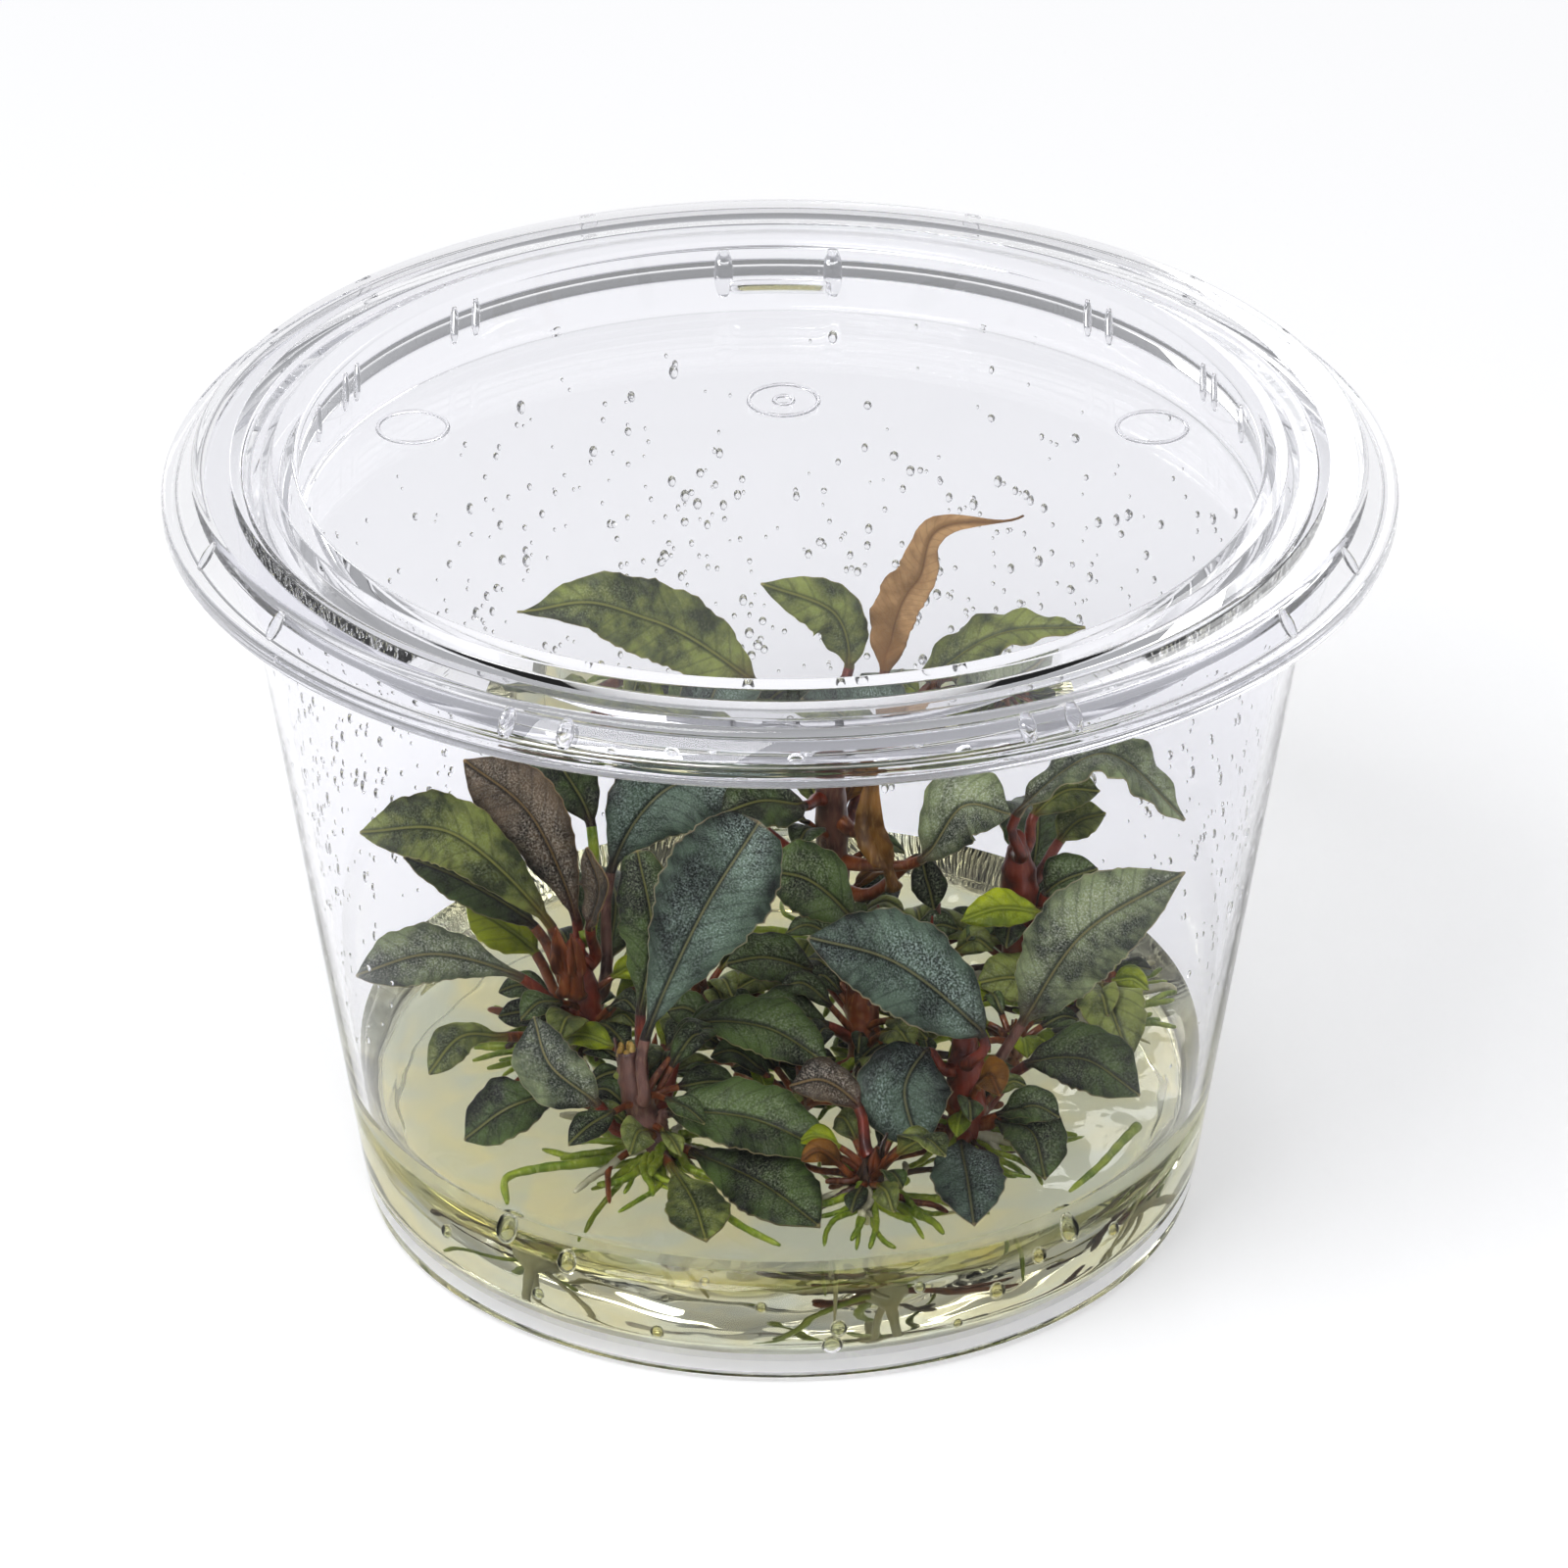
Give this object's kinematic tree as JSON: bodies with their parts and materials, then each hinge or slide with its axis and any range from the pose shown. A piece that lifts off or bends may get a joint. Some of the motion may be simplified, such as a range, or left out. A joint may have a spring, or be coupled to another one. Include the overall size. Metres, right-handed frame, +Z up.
{
  "type": "bucephalandra tissue culture cup",
  "caption": "Bucephalandra plantlets with dark wavy leaves and crimson stems, rooted in pale clear gel in a round clear cup with a press-on lid.",
  "frame": {"origin": "centre of the cup's foot ring, on the surface it stands on", "axes": "+Z up along the cup's axis; -Y is the side that faced the camera"},
  "size_m": [0.1, 0.1, 0.0672],
  "materials": {
    "clear_plastic": "clear injection moulded polystyrene, glossy",
    "agar_gel": "pale yellow-green agar gel, clear and wet",
    "leaf": "dark green leaf with a fine silvery sheen",
    "dry_leaf": "dry tan leaf, matte",
    "stem": "crimson to brown stem and sheaths",
    "green_root": "light green root, smooth"
  },
  "bodies": {
    "root": {"crown_back": "stem", "crown_centre": "stem", "crown_front": "stem", "crown_front_left": "stem", "crown_left": "stem", "crown_right": "stem", "crown_right_back": "stem", "crown_right_wall": "stem", "cup": "clear_plastic", "gel": "agar_gel", "leaf_back_dark": "leaf", "leaf_back_dry": "dry_leaf", "leaf_back_right": "leaf", "leaf_back_slip": "leaf", "leaf_back_upright": "leaf", "leaf_back_wavy": "leaf", "leaf_back_wide": "leaf", "leaf_centre_dark": "leaf", "leaf_centre_far": "leaf", "leaf_centre_left": "leaf", "leaf_front_back": "leaf", "leaf_front_behind": "leaf", "leaf_front_folded": "leaf", "leaf_front_low_left": "leaf", "leaf_front_middle": "leaf", "leaf_front_right": "leaf", "leaf_front_small": "leaf", "leaf_front_tall": "leaf", "leaf_front_under": "leaf", "leaf_left_arch": "leaf", "leaf_left_big": "leaf", "leaf_left_dark": "leaf", "leaf_left_green": "leaf", "leaf_left_high": "leaf", "leaf_left_low": "leaf", "leaf_left_narrow": "leaf", "leaf_left_olive": "leaf", "leaf_left_tall": "leaf", "leaf_rear_left": "leaf", "leaf_rear_low": "leaf", "leaf_rear_middle": "leaf", "leaf_rear_right": "leaf", "leaf_right_arch": "leaf", "leaf_right_behind": "leaf", "leaf_right_big": "leaf", "leaf_right_curl": "leaf", "leaf_right_dark": "leaf", "leaf_right_drop": "leaf", "leaf_right_hang": "leaf", "leaf_right_lime": "leaf", "leaf_right_low": "leaf", "leaf_right_small": "leaf", "leaf_right_tall": "leaf", "leaf_wall_green": "leaf", "leaf_wall_olive": "leaf", "lid": "clear_plastic", "root_front": "green_root", "root_left": "green_root", "root_right": "green_root"}
  },
  "joints": []
}
